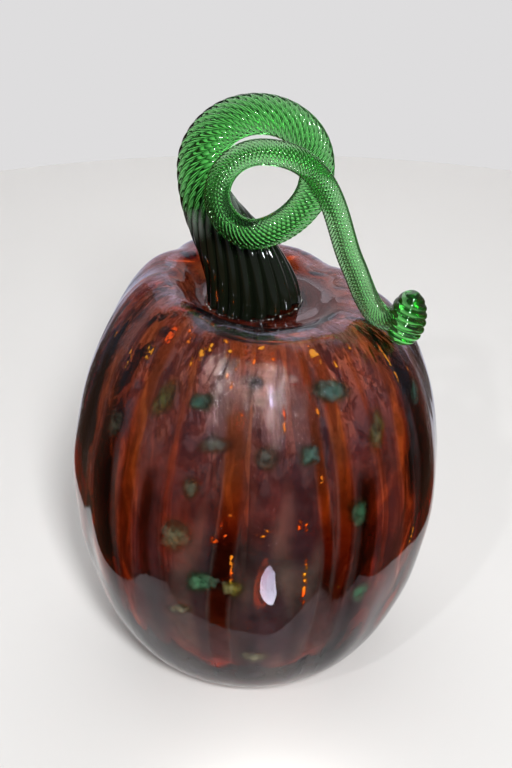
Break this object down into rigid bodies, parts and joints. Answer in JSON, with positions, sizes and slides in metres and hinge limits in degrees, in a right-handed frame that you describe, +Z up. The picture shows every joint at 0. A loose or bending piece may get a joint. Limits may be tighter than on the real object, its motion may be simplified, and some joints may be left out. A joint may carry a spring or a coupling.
{
  "type": "glass pumpkin",
  "caption": "Hollow blown glass pumpkin with a lobed amber body, bits of coloured glass in its skin, and a twisted green glass stem that curls over and lays its bud on the shoulder.",
  "frame": {"origin": "centre of the flat foot, on the surface that the pumpkin stands on", "axes": "+Z up through the body, -Y towards the front as pictured, +X to the right, the side on which the stem's end bud rests"},
  "size_m": [0.1492, 0.1492, 0.2378],
  "materials": {
    "amber_glass": "fire-polished, faint metallic haze",
    "green_glass": "ribbed and twisted while hot",
    "teal_glass": "melted smooth into the skin",
    "olive_glass": "melted smooth into the skin",
    "sage_glass": "melted smooth into the skin"
  },
  "bodies": {
    "root": {"body_shell": "amber_glass", "stem": "green_glass", "frit_bit_01": "olive_glass", "frit_bit_02": "teal_glass", "frit_bit_03": "teal_glass", "frit_bit_04": "sage_glass", "frit_bit_05": "sage_glass", "frit_bit_06": "teal_glass", "frit_bit_07": "sage_glass", "frit_bit_08": "sage_glass", "frit_bit_09": "teal_glass", "frit_bit_10": "teal_glass", "frit_bit_11": "olive_glass", "frit_bit_12": "sage_glass", "frit_bit_13": "teal_glass", "frit_bit_14": "sage_glass", "frit_bit_15": "olive_glass", "frit_bit_16": "teal_glass", "frit_bit_17": "sage_glass", "frit_bit_18": "teal_glass", "frit_bit_19": "olive_glass", "frit_bit_20": "sage_glass", "frit_bit_21": "teal_glass", "frit_bit_22": "sage_glass"}
  },
  "joints": []
}
